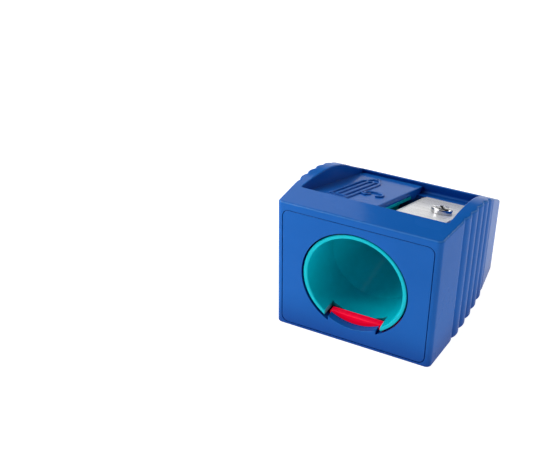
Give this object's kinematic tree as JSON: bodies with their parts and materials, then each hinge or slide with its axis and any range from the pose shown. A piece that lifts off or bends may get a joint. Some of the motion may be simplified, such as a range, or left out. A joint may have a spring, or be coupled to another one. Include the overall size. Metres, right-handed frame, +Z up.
{
  "type": "pencil sharpener",
  "caption": "Hand-held wedge-shaped sharpener for thick crayons and pencils, with a ribbed shell, a round guide mouth, a screwed-on blade on a sloping deck and a sprung tongue in the mouth.",
  "frame": {"origin": "centre of the bottom face, on the surface the sharpener stands on", "axes": "+Z up; the round mouth faces -Y and the low end faces +Y; +X is to the right for someone who faces the mouth, and the blade lies on the +X side"},
  "size_m": [0.0314, 0.036, 0.0249],
  "materials": {
    "shell_plastic": "royal blue moulded plastic, satin gloss",
    "guide_plastic": "turquoise moulded plastic, satin gloss",
    "tongue_plastic": "red moulded plastic, satin gloss",
    "blade_steel": "ground and polished steel",
    "screw_steel": "nickel-plated steel"
  },
  "bodies": {
    "sharpener": {"body_shell": "shell_plastic", "mouth_plate": "shell_plastic", "guide_insert": "guide_plastic", "blade": "blade_steel", "blade_screw": "screw_steel"},
    "tongue": {"pressure_tongue": "tongue_plastic"}
  },
  "joints": [
    {"name": "tongue_press", "type": "hinge", "parent": "sharpener", "child": "tongue", "pos_m": [0, 0.00755, 0.00215], "axis": [1, 0, 0], "range_deg": [0, 1.6], "stiffness_Nm_per_rad": 0.5}
  ]
}
